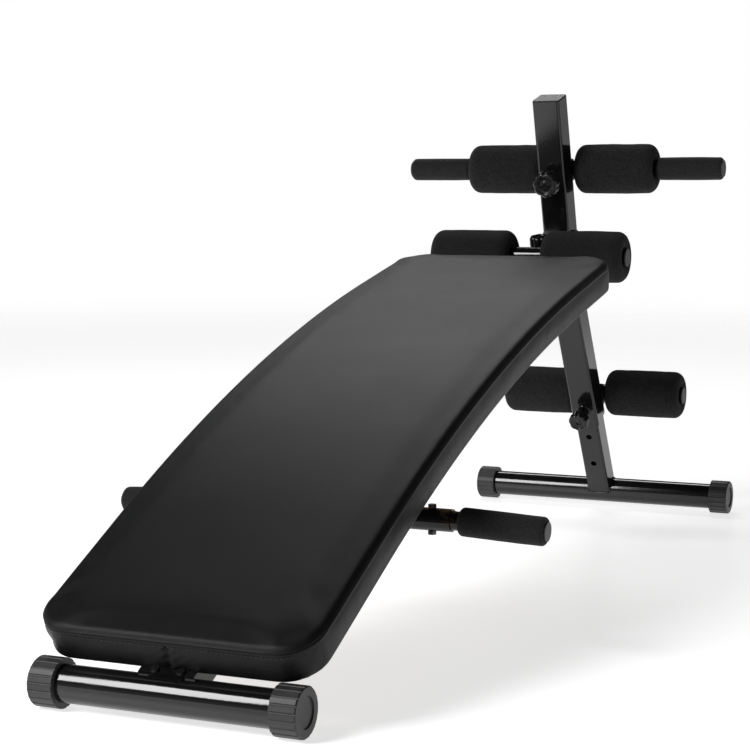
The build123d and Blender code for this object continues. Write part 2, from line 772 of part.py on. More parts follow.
# ---------------------------------------------------------------- cheeks and their bolts

cheek_upper = post_foot + post_up * cheek_rise
cheek_lower = post_foot - post_up * cheek_fall

with BuildPart() as cheek:
    cheek_plane = beside(pivot, Vector(0, 1, 0), half_post)
    with BuildSketch(cheek_plane):
        with Locations((0, 0)):
            Circle(cheek_radius)
        with Locations(flat(cheek_upper - pivot), flat(cheek_lower - pivot)):
            Circle(cheek_corner_radius)
        make_hull()
    extrude(amount=cheek_thickness)
    with BuildSketch(cheek_plane):
        with Locations((0, 0)):
            Circle(pivot_bolt_radius)
        with Locations(flat(post_foot - pivot)):
            Circle(pad_bolt_radius)
    extrude(amount=cheek_thickness, mode=Mode.SUBTRACT)
save_pair(cheek, "cheek")


def through_bolt(centre, radius, head_radius, label):
    """Hex bolt and nut through both cheeks, with its shank along X."""
    reach = half_post + cheek_thickness
    with BuildPart() as bolt:
        with BuildSketch(cross_bar_plane(centre, -reach - head_radius / 2)):
            Circle(radius)
        extrude(amount=2 * reach + head_radius)
        for x, grow in ((reach, 1), (-reach, -1)):
            with BuildSketch(cross_bar_plane(centre, x)):
                RegularPolygon(head_radius, 6)
            extrude(amount=grow * head_radius * bolt_head_share)
    save(bolt, label)


through_bolt(pivot, pivot_bolt_radius, pivot_bolt_head_radius, "pivot_bolt")
through_bolt(post_foot, pad_bolt_radius, cheek_bolt_head_radius, "cheek_bolt")

# ---------------------------------------------------------------- post and outer leg

mitre_up = (post_up + leg_up).normalized()
mitre_plane = across(bend, mitre_up)

with BuildPart() as upper_post:
    with BuildSketch(across(bend - post_up * post_size, post_up)):
        square_ring(post_size, tube_wall)
    extrude(amount=post_length + post_size)
    split(bisect_by=mitre_plane, keep=Keep.TOP)
    with BuildSketch(across(t_bar_level, post_front)):
        Circle(stud_radius + bolt_hole_clearance)
    extrude(amount=post_size, both=True, mode=Mode.SUBTRACT)
    with BuildSketch(cross_bar_plane(post_foot, 0)):
        Circle(pad_bolt_radius)
    extrude(amount=post_size, both=True, mode=Mode.SUBTRACT)
save(upper_post, "upper_post")

with BuildPart() as post_plug:
    with BuildSketch(across(post_top, post_up)):
        RectangleRounded(post_size, post_size, tube_corner_radius)
    extrude(amount=post_cap_thickness)
    chamfer(post_plug.faces().sort_by(Axis.Z)[-1].edges(), post_cap_chamfer)
    with BuildSketch(across(post_top, post_up)):
        spigot = post_size - 2 * tube_wall
        RectangleRounded(spigot, spigot, tube_corner_radius - tube_wall)
    extrude(amount=-plug_depth)
save(post_plug, "post_plug")

leg_outer_end = bend - leg_up * leg_outer_length

with BuildPart() as leg_outer:
    with BuildSketch(across(leg_outer_end, leg_up)):
        square_ring(post_size, tube_wall)
    extrude(amount=leg_outer_length + post_size)
    split(bisect_by=mitre_plane, keep=Keep.BOTTOM)
    with BuildSketch(across(leg_pin_level, leg_front)):
        Circle(pin_radius + pin_clearance)
        for number in range(1, outer_holes + 1):
            with Locations((0, -number * hole_pitch)):
                Circle(pin_hole_radius)
    extrude(amount=post_size, mode=Mode.SUBTRACT)
save(leg_outer, "leg_outer")

glide(leg_outer_end, leg_up, post_size, leg_inner_size, leg_pin_level, leg_front, "leg_glide")

# ---------------------------------------------------------------- sliding inner leg

with BuildPart() as leg_inner:
    with BuildSketch(across(rear_axis, leg_up)):
        square_ring(leg_inner_size, tube_wall)
    extrude(amount=leg_inner_reach)
    with BuildSketch(cross_bar_plane(rear_axis, 0)):
        Circle(stabilizer_radius)
    extrude(amount=leg_inner_size, both=True, mode=Mode.SUBTRACT)
    for number in range(inner_holes):
        with BuildSketch(across(rear_axis + leg_up * (first_hole + number * hole_pitch), leg_front)):
            Circle(pin_hole_radius)
        extrude(amount=leg_inner_size, mode=Mode.SUBTRACT)
save(leg_inner, "leg_inner")

# ---------------------------------------------------------------- knobs and pull pins

def fluted_knob(plane, radius, length, bore_radius, label):
    """Plastic grip knob with flutes, bored through for its pin, with a dished outer end."""
    with BuildPart() as knob:
        with BuildSketch(plane):
            Circle(radius)
        extrude(amount=length)
        with BuildSketch(plane):
            with PolarLocations(radius * flute_centre_share, knob_flutes):
                Circle(radius * flute_radius_share)
        extrude(amount=length * flute_length_share, mode=Mode.SUBTRACT)
        with BuildSketch(plane.offset(length - dish_depth)):
            Circle(radius * dish_radius_share)
        extrude(amount=dish_depth, mode=Mode.SUBTRACT)
        with BuildSketch(plane):
            Circle(bore_radius)
        extrude(amount=length, mode=Mode.SUBTRACT)
    save(knob, label)


def pull_pin(level, direction, half_size, inner_half_size, name):
    """Boss welded on an outer tube, the spring pin in it and the pin's knob."""
    boss_start = level + direction * half_size
    with BuildPart() as boss:
        with BuildSketch(across(boss_start, direction)):
            Circle(boss_radius)
            Circle(pin_radius + pin_clearance, mode=Mode.SUBTRACT)
        extrude(amount=boss_height)
    save(boss, f"{name}_boss")
    knob_start = boss_height + pull_knob_gap
    pin_tip = level + direction * (inner_half_size + pin_tip_gap)
    pin_length = half_size - inner_half_size - pin_tip_gap + knob_start + pull_knob_length - pin_below_knob_end
    with BuildPart() as pin:
        with BuildSketch(across(pin_tip, direction)):
            Circle(pin_radius)
        extrude(amount=pin_length)
    save(pin, f"{name}_shank")
    fluted_knob(across(boss_start + direction * knob_start, direction), pull_knob_radius,
                pull_knob_length, pin_radius, f"{name}_knob")


pull_pin(slide_pin_level, slide_pin_direction, half_tube, half_link, "slide_pin")
pull_pin(leg_pin_level, leg_front, half_post, leg_inner_size / 2, "leg_pin")

t_knob_start = t_bar_level + post_front * (half_post + pull_knob_gap)
fluted_knob(across(t_knob_start, post_front), t_knob_radius, t_knob_length, stud_radius, "t_knob")

with BuildPart() as t_stud:
    with BuildSketch(across(t_bar_axis, post_front)):
        Circle(stud_radius - stud_clearance)
    extrude(amount=t_bar_behind + half_post + pull_knob_gap + t_knob_length - stud_below_knob_end)
save(t_stud, "t_stud")
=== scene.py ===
import bpy
import bmesh
import math
import random
from mathutils import Matrix, Vector, noise
from mathutils.bvhtree import BVHTree


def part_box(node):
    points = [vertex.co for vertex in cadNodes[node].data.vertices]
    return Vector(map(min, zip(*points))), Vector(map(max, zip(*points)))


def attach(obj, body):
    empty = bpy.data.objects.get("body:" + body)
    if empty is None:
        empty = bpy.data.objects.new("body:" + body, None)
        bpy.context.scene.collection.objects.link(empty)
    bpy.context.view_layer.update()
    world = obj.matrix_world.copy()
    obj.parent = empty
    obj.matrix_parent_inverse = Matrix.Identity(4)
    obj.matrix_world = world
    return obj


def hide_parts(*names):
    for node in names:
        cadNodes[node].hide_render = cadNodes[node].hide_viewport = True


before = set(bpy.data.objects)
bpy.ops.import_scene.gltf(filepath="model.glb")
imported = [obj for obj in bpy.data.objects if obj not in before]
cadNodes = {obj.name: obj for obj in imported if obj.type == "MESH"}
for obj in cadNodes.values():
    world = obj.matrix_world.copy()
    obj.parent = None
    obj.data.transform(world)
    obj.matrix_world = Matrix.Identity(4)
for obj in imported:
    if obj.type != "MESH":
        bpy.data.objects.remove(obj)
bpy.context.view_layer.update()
scene = bpy.context.scene
print("frame loaded,", len(cadNodes), "nodes")


# shader maths

class Wire:  # a socket in a finish, so that its maths can be written out
    def __init__(self, finish, socket):
        self.finish = finish
        self.socket = socket

    def __add__(self, other):
        return self.finish.maths("ADD", self, other)

    def __sub__(self, other):
        return self.finish.maths("SUBTRACT", self, other)

    def __rsub__(self, other):
        return self.finish.maths("SUBTRACT", other, self)

    def __mul__(self, other):
        return self.finish.maths("MULTIPLY", self, other)

    def __truediv__(self, other):
        return self.finish.maths("DIVIDE", self, other)

    def __pow__(self, other):
        return self.finish.maths("POWER", self, other)

    __radd__ = __add__
    __rmul__ = __mul__


class Finish:  # a material with one Principled shader
    def __init__(self, name, fixed):
        self.material = bpy.data.materials.new(name)
        self.material.use_nodes = True
        self.tree = self.material.node_tree
        self.shader = self.tree.nodes["Principled BSDF"]
        for socket, value in fixed.items():
            self.shader.inputs[socket].default_value = value
        self.place = self.node("TexCoord", out=3)  # object coordinates
        self.across = self.node("TexCoord", out=2)  # the piece's own map

    def node(self, kind, settings={}, sockets={}, out=0):
        made = self.tree.nodes.new("ShaderNode" + kind)
        for setting, value in settings.items():
            if setting == "stops":
                for count, (place, shade) in enumerate(value):
                    if count < 2:
                        stop = made.color_ramp.elements[count]
                        stop.position = place
                    else:
                        stop = made.color_ramp.elements.new(place)
                    stop.color = (shade[0], shade[1], shade[2], 1)
            else:
                setattr(made, setting, value)
        for socket, value in sockets.items():
            if isinstance(value, Wire):
                self.tree.links.new(value.socket, made.inputs[socket])
            else:
                made.inputs[socket].default_value = value
        return Wire(self, made.outputs[out])

    def maths(self, operation, first, second=0.0):
        return self.node("Math", {"operation": operation}, {0: first, 1: second})

    def speckle(self, scale, detail=2.0, rough=0.5, where=None):
        return self.node("TexNoise", {}, {"Vector": where or self.place, "Scale": scale,
                                          "Detail": detail, "Roughness": rough})

    def cells(self, scale, feature="F1", where=None):
        return self.node("TexVoronoi", {"feature": feature},
                         {"Vector": where or self.place, "Scale": scale})

    def between(self, value, low, high):  # 0 below low, 1 above high
        return self.node("MapRange", {"interpolation_type": "SMOOTHSTEP"},
                         {"Value": value, "From Min": low, "From Max": high})

    def tint(self, share, first, second):  # a colour between two
        return self.node("Mix", {"data_type": "RGBA"},
                         {0: share, 6: (*first, 1), 7: (*second, 1)}, out=2)

    def stretch(self, scale, turn=(0, 0, 0), where=None):
        return self.node("Mapping", {}, {"Vector": where or self.place, "Scale": scale,
                                         "Rotation": turn})

    def drive(self, **wires):
        for socket, wire in wires.items():
            self.tree.links.new(wire.socket, self.shader.inputs[socket.replace("_", " ")])

    def emboss(self, height, distance, strength=1.0):
        self.drive(Normal=self.node("Bump", {}, {"Height": height, "Distance": distance,
                                                 "Strength": strength}))


# finishes

def blackEnamel():
    look = dict(paint=(0.0045, 0.0045, 0.005), dusty=(0.011, 0.011, 0.0115),
                gloss=0.10, dustRoughness=0.12, peelScale=230, peelDepth=0.00007)
    finish = Finish("blackEnamel", {"IOR": 1.48})
    dust = finish.between(finish.speckle(9, 5, 0.6), 0.42, 0.75)
    grit = finish.speckle(1400, 2)
    film = dust * (grit * 0.8 + 0.35)
    finish.drive(Base_Color=finish.tint(film, look["paint"], look["dusty"]),
                 Roughness=film * look["dustRoughness"] + look["gloss"])
    finish.emboss(finish.speckle(look["peelScale"], 2) + grit * 0.06, look["peelDepth"], 0.5)
    return finish.material


def mouldedPlastic(name, dark, light, roughness):
    finish = Finish(name, {"IOR": 1.47})
    cloud = finish.speckle(30, 4, 0.6)
    grain = finish.cells(1500)
    finish.drive(Base_Color=finish.tint(finish.between(cloud, 0.3, 0.7), dark, light),
                 Roughness=roughness + cloud * 0.1 + grain * 0.08)
    finish.emboss(grain * 0.8 + finish.speckle(3200, 2) * 0.4, 0.00012, 0.55)
    return finish.material


def knobPlastic():
    finish = Finish("knobPlastic", {"IOR": 1.5, "Specular IOR Level": 0.4})
    smear = finish.between(finish.speckle(120, 4, 0.6), 0.4, 0.7)
    finish.drive(Base_Color=finish.tint(smear, (0.004, 0.004, 0.0043), (0.008, 0.008, 0.0084)),
                 Roughness=smear * 0.1 + 0.24)
    finish.emboss(finish.speckle(1500, 3), 0.00004, 0.4)
    return finish.material


def knitFoam():  # rows of small loops that run round the roller, over open foam
    look = dict(loopWidth=0.0030, rowHeight=0.0026, fuzz=2000)
    finish = Finish("knitFoam", {"IOR": 1.4, "Specular IOR Level": 0.25, "Sheen Weight": 0.04,
                                 "Sheen Roughness": 0.5})
    uneven = finish.speckle(240, 3, 0.6, finish.across)
    warp = finish.speckle(700, 2, 0.5, finish.across)
    split = finish.node("SeparateXYZ", {}, {0: finish.across})
    along = finish.node("SeparateXYZ", {}, {0: finish.across}, out=1)
    loops = finish.maths("SINE", (split + warp * 0.0009) * (2 * math.pi / look["loopWidth"]))
    rows = finish.maths("SINE", (along + warp * 0.0011) * (2 * math.pi / look["rowHeight"]))
    knit = (loops * rows + 1) * 0.5
    fuzz = finish.speckle(look["fuzz"], 3, 0.7, finish.across)
    pores = finish.between(finish.cells(620, where=finish.across), 0.1, 0.65)
    height = knit * 0.6 + fuzz * 0.5 + pores * 0.4 + uneven * 0.4
    # the colour is darker in the knit's hollows and pores, which is painted shade, and varies with
    # the uneven and fuzz noise, which is random tone
    shade = finish.between(height, 0.75, 1.4)
    finish.drive(Base_Color=finish.tint(shade, (0.001, 0.001, 0.0011), (0.026, 0.026, 0.027)),
                 Roughness=0.97 - shade * 0.12)
    finish.emboss(height, 0.0012, 1.0)
    return finish.material


def gripFoam():
    finish = Finish("gripFoam", {"IOR": 1.4, "Specular IOR Level": 0.3, "Sheen Weight": 0.08})
    pores = finish.between(finish.cells(1100), 0.12, 0.6)
    skin = finish.speckle(420, 4, 0.65)
    # the colour is darker in the pores, which is painted shade, and varies with the skin noise,
    # which is random tone
    shade = finish.between(skin + pores * 0.5, 0.6, 1.25)
    finish.drive(Base_Color=finish.tint(shade, (0.005, 0.005, 0.0053), (0.017, 0.017, 0.018)),
                 Roughness=0.9 - shade * 0.1)
    finish.emboss(pores * 0.6 + skin * 0.7, 0.0003, 0.7)
    return finish.material


def padVinyl():
    look = dict(pebble=1150, crease=520, dark=(0.0024, 0.0024, 0.0026),
                light=(0.0052, 0.0052, 0.0055), roughness=0.33)
    finish = Finish("padVinyl", {"IOR": 1.47, "Specular IOR Level": 0.21})
    pebbles = finish.between(finish.cells(look["pebble"], "DISTANCE_TO_EDGE"), 0.0, 0.22)
    creases = finish.between(finish.cells(look["crease"], "DISTANCE_TO_EDGE"), 0.0, 0.1)
    mottle = finish.speckle(16, 5, 0.6)
    fine = finish.speckle(3400, 2)
    worn = finish.between(mottle, 0.42, 0.68)
    # the colour is darker in the grooves between the pebbles, which is painted shade; the worn
    # patches are random tone
    finish.drive(Base_Color=finish.tint(pebbles * 0.5 + worn * 0.4, look["dark"], look["light"]),
                 Roughness=look["roughness"] + mottle * 0.1 + (1 - pebbles) * 0.1)
    finish.emboss(pebbles * 0.6 + creases * 0.5 + fine * 0.2, 0.00013, 0.6)
    return finish.material


def plywood():
    finish = Finish("plywood", {"IOR": 1.45})
    drawn = finish.stretch((60, 5, 60))
    rings = finish.speckle(1.0, 5, 0.65, drawn)
    fibres = finish.speckle(1.0, 3, 0.6, finish.stretch((900, 30, 900)))
    knots = finish.between(finish.cells(7, where=finish.stretch((1, 0.35, 1))), 0.02, 0.12)
    tone = finish.between(rings + fibres * 0.3, 0.35, 0.95) * knots
    finish.drive(Base_Color=finish.tint(tone, (0.13, 0.075, 0.035), (0.34, 0.23, 0.13)),
                 Roughness=0.82 - tone * 0.14)
    finish.emboss(rings * 0.4 + fibres * 0.6, 0.00025, 0.5)
    return finish.material


def zincSteel(name="zincSteel", shade=0.55):
    finish = Finish(name, {"Metallic": 1.0})
    spangle = finish.cells(260)
    brushed = finish.speckle(1.0, 3, 0.6, finish.stretch((2200, 2200, 260)))
    bright = (shade, shade, shade * 0.98)
    dull = (shade * 0.6, shade * 0.6, shade * 0.62)
    finish.drive(Base_Color=finish.tint(finish.between(brushed + spangle, 0.4, 1.2), dull, bright),
                 Roughness=brushed * 0.2 + 0.22)
    finish.emboss(brushed, 0.00003, 0.5)
    return finish.material


def sewingThread():
    finish = Finish("sewingThread", {"IOR": 1.45, "Sheen Weight": 0.1})
    twist = finish.speckle(1.0, 2, 0.5, finish.stretch((2600, 2600, 2600), (0.6, 0.3, 0.8)))
    finish.drive(Base_Color=finish.tint(twist, (0.008, 0.008, 0.0085), (0.03, 0.03, 0.031)),
                 Roughness=0.75 - twist * 0.15)
    finish.emboss(twist, 0.0001, 0.6)
    return finish.material


finishes = {
    "frame_paint": blackEnamel(),
    "cap_plastic": mouldedPlastic("capPlastic", (0.020, 0.020, 0.021),
                                  (0.032, 0.032, 0.033), 0.38),
    "roller_foam": knitFoam(),
    "grip_foam": gripFoam(),
    "knob_plastic": knobPlastic(),
    "pad_vinyl": padVinyl(),
    "board_wood": plywood(),
    "fastener_steel": zincSteel(),
    "thread": sewingThread(),
    "bar_plug": mouldedPlastic("plugPlastic", (0.022, 0.022, 0.023), (0.040, 0.040, 0.041), 0.4),
    "black_oxide": zincSteel("blackOxide", 0.09),
}
for name, node in cadNodes.items():
    node.data.materials[0] = finishes[node.data.materials[0].name]
for name in ("knee_bar_plugs", "t_bar_plugs", "foot_bar_plugs"):
    cadNodes[name].data.materials[0] = finishes["bar_plug"]
for name in ("cheek_bolt", "pivot_bolt", "push_bolts", "bracket_screws", "t_stud",
             "slide_pin_shank", "leg_pin_shank"):
    cadNodes[name].data.materials[0] = finishes["black_oxide"]
print("finishes made and put on the frame")


# helpers for shapes

def middle(node):
    low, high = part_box(node)
    return (low + high) / 2


def ringEdges(bm, low, high):  # edges whose two faces meet at an angle in this range, in degrees
    return [e for e in bm.edges if len(e.link_faces) == 2
            and low < math.degrees(e.calc_face_angle()) < high]


def makePiece(name, bm, finish, body, sharp=35):
    bmesh.ops.remove_doubles(bm, verts=bm.verts, dist=1e-6)
    bmesh.ops.recalc_face_normals(bm, faces=bm.faces)
    mesh = bpy.data.meshes.new(name)
    bm.to_mesh(mesh)
    bm.free()
    mesh.materials.append(finishes[finish])
    mesh.polygons.foreach_set("use_smooth", [True] * len(mesh.polygons))
    mesh.set_sharp_from_angle(angle=math.radians(sharp))
    piece = bpy.data.objects.new(name, mesh)
    scene.collection.objects.link(piece)
    if body:
        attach(piece, body)
    return piece


def settled(piece):  # the piece's mesh with its modifiers applied
    bpy.context.view_layer.update()
    shown = piece.evaluated_get(bpy.context.evaluated_depsgraph_get())
    mesh = bpy.data.meshes.new_from_object(shown)
    piece.modifiers.clear()
    piece.data = mesh
    return piece


def roughness(point, scale, seed):  # smooth noise from -1 to 1
    return noise.noise(Vector((point.x * scale + seed, point.y * scale, point.z * scale - seed)))


# the bench's curve

benchLine = dict(frontSlope=26.3, rearSlope=12.0, frontRun=0.198, bendRadius=2.577,
                 origin=middle("front_stabilizer"))


def onBench(x, distance, height):  # a point by its distance up the main tube and its height off it
    front = math.radians(benchLine["frontSlope"])
    rear = math.radians(benchLine["rearSlope"])
    origin = benchLine["origin"]
    bendLength = benchLine["bendRadius"] * (front - rear)
    straight = min(distance, benchLine["frontRun"])
    bent = min(max(distance - straight, 0), bendLength)
    beyond = max(distance - straight - bendLength, 0)
    slope = front - bent / benchLine["bendRadius"]
    y = origin.y + math.cos(front) * straight
    z = origin.z + math.sin(front) * straight
    y += benchLine["bendRadius"] * (math.sin(front) - math.sin(slope))
    z += benchLine["bendRadius"] * (math.cos(slope) - math.cos(front))
    y += math.cos(rear) * beyond - math.sin(slope) * height
    z += math.sin(rear) * beyond + math.cos(slope) * height
    return Vector((x, y, z))


# pad cover

pad = dict(
    start=0.014, length=0.986, bottom=0.023, thickness=0.037, corner=0.041,
    columns=30, rows=98,        # squares of the top sheet
    rim=0.0068,                 # roll of the top edge
    seamBelow=0.0080, seamDepth=0.0024, stitchBelow=0.0128,
    tuck=0.0008,                # how far the band leans in towards its lower edge
    hem=0.026,                  # vinyl turned under the board
    pressure=3.0, swell=0.0026, frames=20,
    puckerSize=0.0011,
)


def padOutline(point):  # the pad's outline is a rounded rectangle: the way out of it at a point
    x = max(-padHalf.x + pad["corner"], min(padHalf.x - pad["corner"], point.x))
    y = max(-padHalf.y + pad["corner"], min(padHalf.y - pad["corner"], point.y))
    away = Vector((point.x - x, point.y - y, 0))
    return Vector((x, y, 0)), (away.normalized() if away.length > 1e-6 else Vector())


def padFlat():  # the cover laid flat, its middle at the origin, its lower face at z = 0
    bm = bmesh.new()
    bmesh.ops.create_grid(bm, x_segments=pad["columns"], y_segments=pad["rows"], size=0.5)
    inner = Vector((padHalf.x - pad["corner"], padHalf.y - pad["corner"]))
    bmesh.ops.scale(bm, vec=(2 * padHalf.x, 2 * padHalf.y, 1), verts=bm.verts)
    for v in bm.verts:  # the square corners of the sheet are drawn round
        u = max(abs(v.co.x) - inner.x, 0) / pad["corner"]
        w = max(abs(v.co.y) - inner.y, 0) / pad["corner"]
        reach = pad["corner"] - pad["rim"]
        if abs(v.co.x) > inner.x:
            v.co.x = math.copysign(inner.x + reach * u * math.sqrt(1 - w * w / 2), v.co.x)
        if abs(v.co.y) > inner.y:
            v.co.y = math.copysign(inner.y + reach * w * math.sqrt(1 - u * u / 2), v.co.y)
        v.co.z = pad["thickness"]
    top = pad["thickness"]
    rings = [(pad["rim"] * (1 - math.sin(a)), top - pad["rim"] * (1 - math.cos(a)))
             for a in (0.4, 0.8, 1.2, 1.5)]
    seam, stitch = top - pad["seamBelow"], top - pad["stitchBelow"]
    rings += [(0.0, seam + 0.0007), (pad["seamDepth"], seam), (0.0001, seam - 0.0008),
              (-0.0001, stitch + 0.0012), (0.0008, stitch), (0.0001, stitch - 0.0012)]
    for step in range(1, 5):
        share = step / 4
        rings.append((pad["tuck"] * share ** 2, stitch - 0.0012 - share * (stitch - 0.0050)))
    rings += [(pad["tuck"] + 0.0001, 0.0008), (pad["tuck"] + 0.0003, -0.0022),
              (pad["tuck"] + 0.0012, -0.0046), (pad["tuck"] + 0.0038, -0.0058), (0.0100, -0.0048),
              (0.0150, -0.0026), (0.0195, -0.0013), (pad["hem"] - 0.001, -0.0011),
              (pad["hem"], -0.0004), (pad["hem"] + 0.0006, 0.005)]
    rim = [e for e in bm.edges if e.is_boundary]
    for inward, height in rings:
        made = bmesh.ops.extrude_edge_only(bm, edges=rim)["geom"]
        rim = [g for g in made if isinstance(g, bmesh.types.BMEdge)]
        for v in {v for e in rim for v in e.verts}:
            root, away = padOutline(v.co)
            v.co = root + away * (pad["corner"] - inward)
            v.co.z = height
    bmesh.ops.edgeloop_fill(bm, edges=rim)
    for x in (-0.0016, 0.0016):  # close lines beside the join in the front band
        bmesh.ops.bisect_plane(bm, geom=bm.verts[:] + bm.edges[:] + bm.faces[:],
                               plane_co=(x, 0, 0), plane_no=(1, 0, 0), dist=1e-5)
    return bm


def swellUp(piece, held, settings):  # a short cloth run under pressure, its movement capped
    start = [v.co.copy() for v in piece.data.vertices]
    piece.vertex_groups.new(name="sewn").add(held, 1.0, "REPLACE")
    cloth = piece.modifiers.new("cloth", "CLOTH")
    cloth.point_cache.frame_start, cloth.point_cache.frame_end = 1, settings["frames"]
    cloth.settings.vertex_group_mass = "sewn"
    cloth.settings.use_pressure = True
    cloth.settings.uniform_pressure_force = settings["pressure"]
    cloth.settings.effector_weights.gravity = 0
    cloth.collision_settings.use_collision = False
    for count in range(1, settings["frames"] + 1):
        scene.frame_set(count)
    settled(piece)
    scene.frame_set(1)
    for v, was in zip(piece.data.vertices, start):
        moved = v.co - was
        if moved.length > 1e-9:
            capped = settings["swell"] * math.tanh(moved.length / settings["swell"])
            v.co = was + moved.normalized() * capped
    piece.vertex_groups.clear()


padLow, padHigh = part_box("pad_cushion")
padHalf = Vector(((padHigh.x - padLow.x) / 2, pad["length"] / 2, 0))
flatPad = padFlat()
padCover = makePiece("padCover", flatPad, "pad_vinyl", None, 180)
seamHeight = pad["thickness"] - pad["seamBelow"]
stitchHeight = pad["thickness"] - pad["stitchBelow"]
sewn = [v.index for v in padCover.data.vertices
        if abs(v.co.z - seamHeight) < 0.0009 or abs(v.co.z - stitchHeight) < 0.0004
        or v.co.z < 0.003]
swellUp(padCover, sewn, pad)
smoother = padCover.modifiers.new("smoother", "SUBSURF")
smoother.levels = smoother.render_levels = 1
settled(padCover)

for v in padCover.data.vertices:  # creases, the join in the front band, then the bench's curve
    root, away = padOutline(v.co)
    high = v.co.z / pad["thickness"]
    onBand = max(0.0, min(1.0, (0.72 - high) * 6)) * max(0.0, min(1.0, (high + 0.12) * 10))
    edge = max(0.0, (abs(v.co.x) - padHalf.x + pad["corner"]) / pad["corner"])
    end = max(0.0, (abs(v.co.y) - padHalf.y + pad["corner"]) / pad["corner"])
    turning = min(1.0, edge * 1.5) * min(1.0, end * 1.5)
    if away.length > 0:
        slack = roughness(v.co, 24, 3.1) * 0.6 + roughness(v.co, 75, 8.7) * 0.25
        pleats = roughness(Vector((v.co.x, v.co.y, v.co.z * 0.35)), 160, 1.7) * turning
        v.co += away * onBand * (slack * 0.0011 + pleats * 0.0018)
        if v.co.z < 0.001 and turning > 0:  # the hem puckers where it turns the corner
            v.co.z -= abs(roughness(v.co, 210, 5.5)) * pad["puckerSize"] * turning
    else:
        crown = 1 - (abs(v.co.x) / padHalf.x) ** 3
        v.co.z += (roughness(v.co, 7, 2.2) * 0.0006 + roughness(v.co, 22, 6.0) * 0.00015) * crown
    if v.co.y < 0.02 - padHalf.y and onBand > 0:
        lean = v.co.x + (0.6 - high) * 0.004
        groove = math.exp(-(lean / 0.0017) ** 2)
        fold = math.exp(-((lean - 0.007) / 0.0045) ** 2) * 0.0013
        drag = max(0.0, 1 - abs(lean - 0.01) / 0.05) * math.sin((lean * 1.5 - v.co.z * 2.2) * 300)
        v.co.y += groove * 0.0026 * onBand - fold * onBand - drag * 0.0008 * onBand
    v.co = onBench(v.co.x, v.co.y + padHalf.y + pad["start"], v.co.z + pad["bottom"])
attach(padCover, "frame")
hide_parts("pad_cushion")
print("pad cover sewn,", len(padCover.data.polygons), "faces")


# stitches and staples

def walkOutline(inset, pitch):  # points and directions round the pad's outline
    straightX = 2 * (padHalf.x - pad["corner"])
    straightY = 2 * (padHalf.y - pad["corner"])
    radius = pad["corner"] - inset
    arc = radius * math.pi / 2
    total = 2 * (straightX + straightY) + 4 * arc
    sides = [(Vector((1, 0, 0)), straightX), (Vector((0, 1, 0)), straightY),
             (Vector((-1, 0, 0)), straightX), (Vector((0, -1, 0)), straightY)]
    count = round(total / pitch)
    place = Vector((-straightX / 2, -padHalf.y + inset, 0))
    starts = []
    for heading, length in sides:
        starts.append((place.copy(), heading, length))
        place = place + heading * length
        turn = Vector((-heading.y, heading.x, 0))
        place = place + (heading + turn) * radius
    for step in range(count):
        way = step * total / count
        for corner, heading, length in starts:
            turn = Vector((-heading.y, heading.x, 0))
            if way <= length:
                yield corner + heading * way, heading
                break
            way -= length
            if way <= arc:
                angle = way / radius
                centre = corner + heading * length + turn * radius
                along, inward = math.cos(angle), math.sin(angle)
                yield (centre + heading * inward * radius - turn * along * radius,
                       heading * along + turn * inward)
                break
            way -= arc


stitching = dict(pitch=0.0052, length=0.0040, thick=0.00085, proud=0.00015)
stapling = dict(pitch=0.034, inset=0.022, width=0.010, wire=0.0010)


def topStitches():
    tree = BVHTree.FromPolygons([v.co for v in padCover.data.vertices],
                                [p.vertices for p in padCover.data.polygons])
    bm = bmesh.new()
    height = stitchHeight + pad["bottom"]
    for place, heading in walkOutline(0.0, stitching["pitch"]):
        distance = place.y + padHalf.y + pad["start"]
        spot = onBench(place.x, distance, height)
        ahead = onBench(place.x + heading.x * 0.004, distance + heading.y * 0.004, height) - spot
        found, facing, face, gap = tree.find_nearest(spot)
        side = facing.cross(ahead).normalized()
        turned = Matrix((ahead.normalized(), side, facing)).transposed().to_4x4()
        made = bmesh.ops.create_uvsphere(bm, u_segments=8, v_segments=4, radius=0.5,
                                         matrix=Matrix.Rotation(math.pi / 2, 4, "Y"))["verts"]
        bmesh.ops.scale(bm, verts=made, vec=(stitching["length"], stitching["thick"],
                                             stitching["thick"]))
        for v in made:  # the ends of a stitch go down into the vinyl
            v.co.z -= 0.0005 * (2 * v.co.x / stitching["length"]) ** 4
        centre = found + facing * stitching["proud"]
        bmesh.ops.transform(bm, verts=made, matrix=Matrix.Translation(centre) @ turned)
    return makePiece("topStitches", bm, "thread", "frame", 180)


def hemStaples():
    bm = bmesh.new()
    random.seed(4)
    for place, heading in walkOutline(stapling["inset"], stapling["pitch"]):
        distance = place.y + padHalf.y + pad["start"]
        spot = onBench(place.x, distance, pad["bottom"] - 0.0013)
        ahead = onBench(place.x + heading.x * 0.004, distance + heading.y * 0.004,
                        pad["bottom"] - 0.0013) - spot
        skew = random.uniform(-0.25, 0.25)
        up = (onBench(place.x, distance, 0.05) - onBench(place.x, distance, 0.0)).normalized()
        side = up.cross(ahead).normalized()
        turned = Matrix((ahead.normalized(), side, up)).transposed().to_4x4()
        made = bmesh.ops.create_cube(bm, size=1.0)["verts"]
        bmesh.ops.scale(bm, verts=made, vec=(stapling["width"], stapling["wire"],
                                             stapling["wire"]))
        crown = list({e for v in made for e in v.link_edges})
        made = list({v for f in bmesh.ops.bevel(
            bm, geom=crown, offset=0.00025, segments=2, profile=0.5, affect="EDGES",
            material=-1)["faces"] for v in f.verts})
        bmesh.ops.transform(bm, verts=made, matrix=Matrix.Translation(spot) @ turned
                            @ Matrix.Rotation(skew, 4, "Z"))
    return makePiece("hemStaples", bm, "fastener_steel", "frame", 40)


topStitches()
hemStaples()
print("stitches and staples set")


# foam rollers and grips

